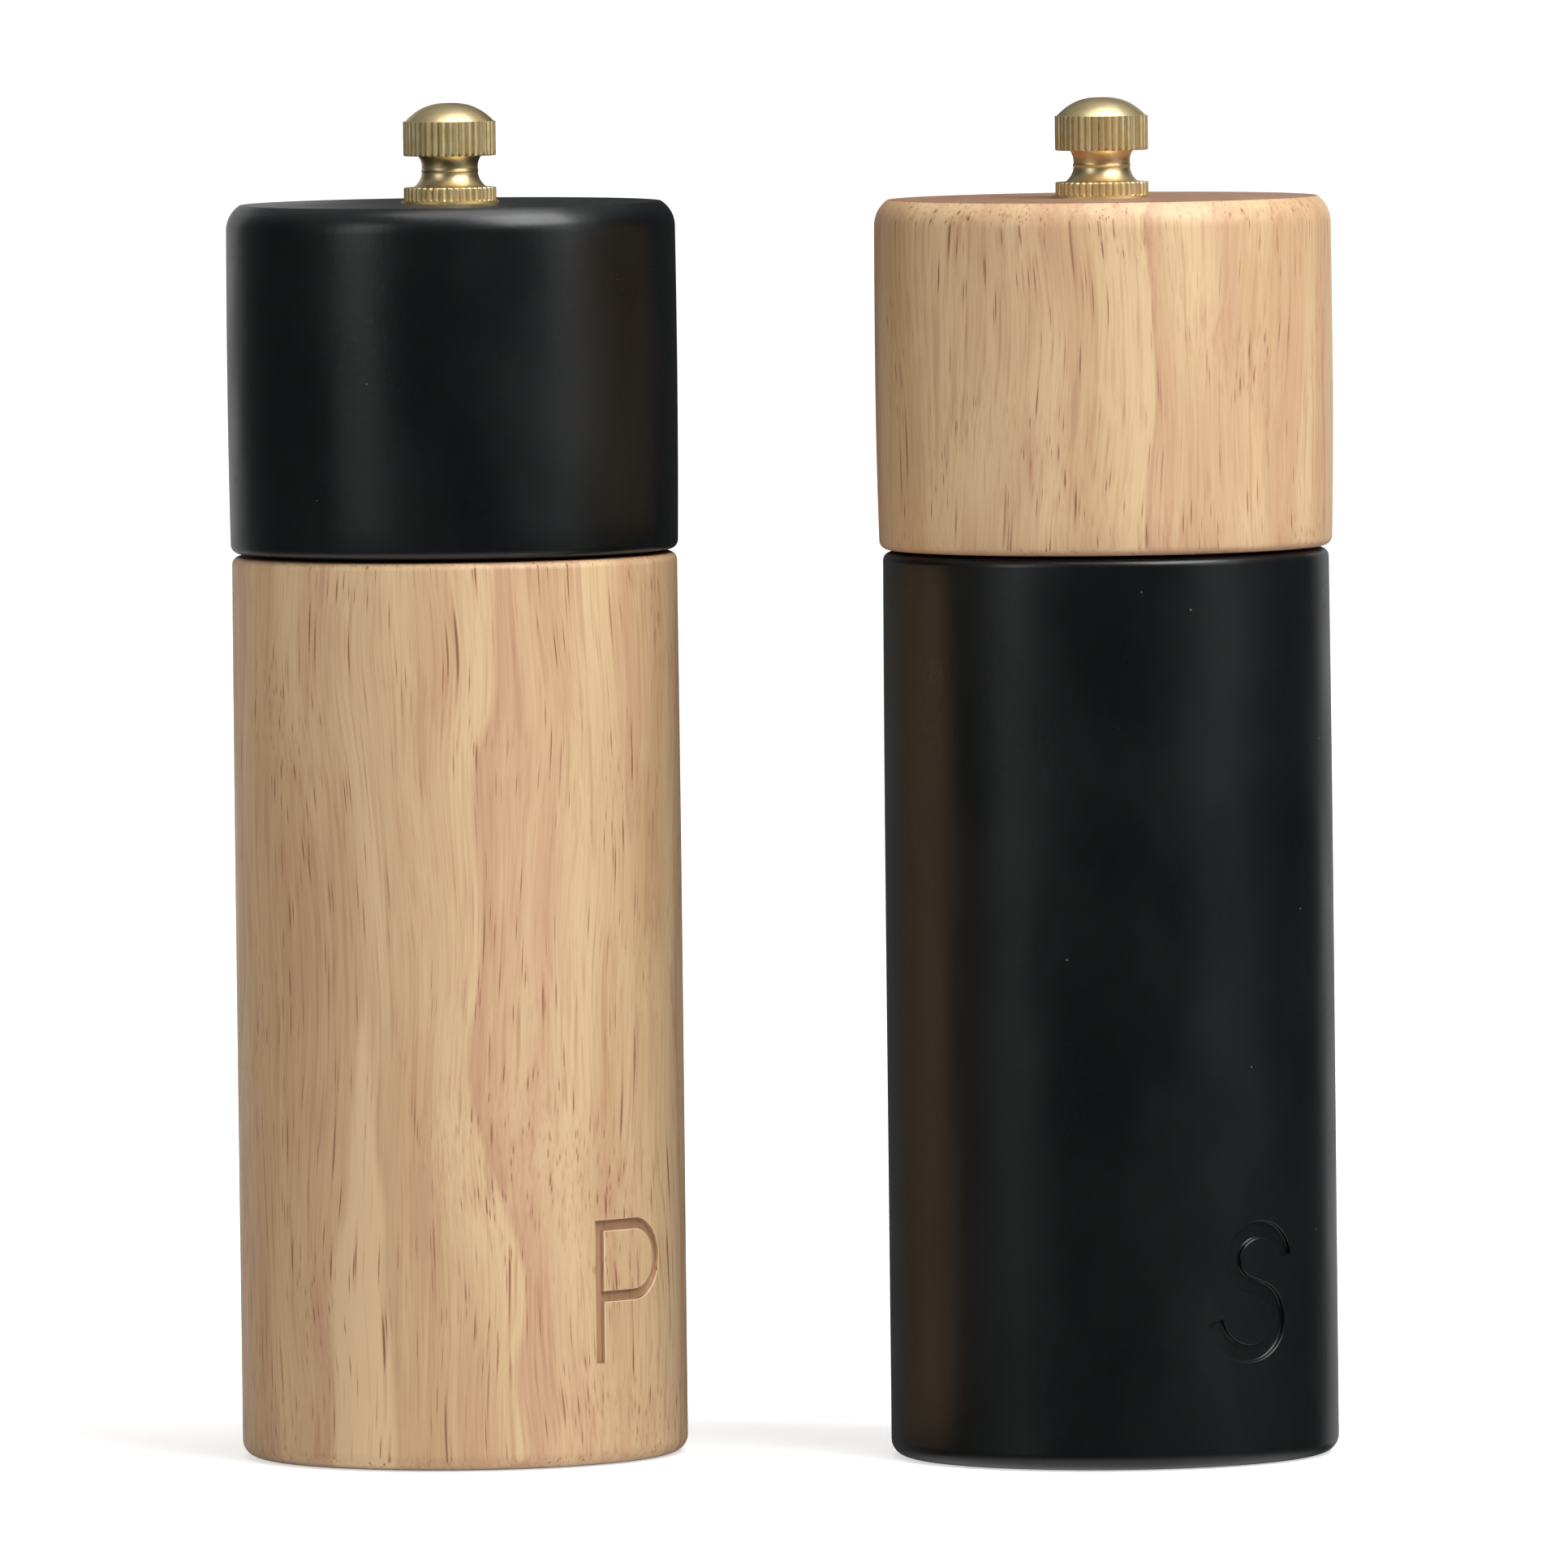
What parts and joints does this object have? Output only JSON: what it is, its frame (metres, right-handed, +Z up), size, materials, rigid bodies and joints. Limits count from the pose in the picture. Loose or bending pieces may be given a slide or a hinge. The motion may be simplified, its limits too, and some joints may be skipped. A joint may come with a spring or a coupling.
{
  "type": "salt and pepper mill set",
  "caption": "Free-standing wooden twist mills for salt and pepper, in natural and black wood, each with a turning head and a knurled brass grind adjuster.",
  "frame": {"origin": "on the table, at the centre of the pair's bounding box", "axes": "+Z up along the mills, +X from the pepper mill to the salt mill, front faces -Y"},
  "size_m": [0.1358, 0.0658, 0.1664],
  "materials": {
    "natural_wood": "sanded, clear matt oil",
    "black_lacquer": "satin black lacquer on wood",
    "brass": "turned and knurled, polished",
    "aluminium": "drawn bar",
    "zinc_steel": "zinc plated",
    "spring_steel": "drawn wire",
    "black_plastic": "moulded, matt",
    "white_plastic": "moulded acetal",
    "grinder_ceramic": "fired, unglazed"
  },
  "bodies": {
    "pepper_base": {"pepper_body": "natural_wood", "pepper_body_collar": "black_plastic", "pepper_grinder_housing": "black_plastic", "pepper_housing_screws": "zinc_steel", "pepper_stator": "grinder_ceramic", "pepper_bridge": "black_plastic", "pepper_thrust_washer": "zinc_steel"},
    "pepper_bush": {"pepper_shaft_bush": "white_plastic"},
    "pepper_shaft": {"pepper_drive_shaft": "aluminium", "pepper_rotor": "grinder_ceramic", "pepper_rotor_clip": "zinc_steel", "pepper_spring": "spring_steel"},
    "pepper_top": {"pepper_head": "black_lacquer", "pepper_drive_plate": "zinc_steel", "pepper_drive_plate_screws": "zinc_steel", "pepper_knob_washer": "brass"},
    "pepper_adjuster": {"pepper_knob": "brass"},
    "salt_base": {"salt_body": "black_lacquer", "salt_body_collar": "black_plastic", "salt_grinder_housing": "black_plastic", "salt_housing_screws": "zinc_steel", "salt_stator": "grinder_ceramic", "salt_bridge": "black_plastic", "salt_thrust_washer": "zinc_steel"},
    "salt_bush": {"salt_shaft_bush": "white_plastic"},
    "salt_shaft": {"salt_drive_shaft": "aluminium", "salt_rotor": "grinder_ceramic", "salt_rotor_clip": "zinc_steel", "salt_spring": "spring_steel"},
    "salt_top": {"salt_head": "natural_wood", "salt_drive_plate": "zinc_steel", "salt_drive_plate_screws": "zinc_steel", "salt_knob_washer": "brass"},
    "salt_adjuster": {"salt_knob": "brass"}
  },
  "joints": [
    {"name": "salt_mill_lift", "type": "slide", "parent": "pepper_base", "child": "salt_base", "axis": [0, 0, 1], "range_m": [0, 0.12]},
    {"name": "pepper_head_turn", "type": "hinge", "parent": "pepper_base", "child": "pepper_bush", "pos_m": [-0.04018, 0.00517, 0.1], "axis": [0, 0, 1], "continuous": true},
    {"name": "pepper_shaft_drop", "type": "slide", "parent": "pepper_bush", "child": "pepper_shaft", "axis": [0, 0, -1], "range_m": [0, 0.001], "deforming": ["pepper_spring"]},
    {"name": "pepper_head_lift", "type": "slide", "parent": "pepper_bush", "child": "pepper_top", "axis": [0, 0, 1], "range_m": [0, 0.065]},
    {"name": "pepper_knob_turn", "type": "hinge", "parent": "pepper_top", "child": "pepper_adjuster", "pos_m": [-0.04018, 0.00517, 0.16], "axis": [0, 0, 1], "range_deg": [0, 450]},
    {"name": "salt_head_turn", "type": "hinge", "parent": "salt_base", "child": "salt_bush", "pos_m": [0.03982, -0.00483, 0.1], "axis": [0, 0, 1], "continuous": true},
    {"name": "salt_shaft_drop", "type": "slide", "parent": "salt_bush", "child": "salt_shaft", "axis": [0, 0, -1], "range_m": [0, 0.001], "deforming": ["salt_spring"]},
    {"name": "salt_head_lift", "type": "slide", "parent": "salt_bush", "child": "salt_top", "axis": [0, 0, 1], "range_m": [0, 0.065]},
    {"name": "salt_knob_turn", "type": "hinge", "parent": "salt_top", "child": "salt_adjuster", "pos_m": [0.03982, -0.00483, 0.16], "axis": [0, 0, 1], "range_deg": [0, 450]}
  ],
  "couplings": [
    {"joint": "pepper_knob_turn", "follows": "pepper_shaft_drop", "rad_per_m": 7854},
    {"joint": "salt_knob_turn", "follows": "salt_shaft_drop", "rad_per_m": 7854}
  ]
}
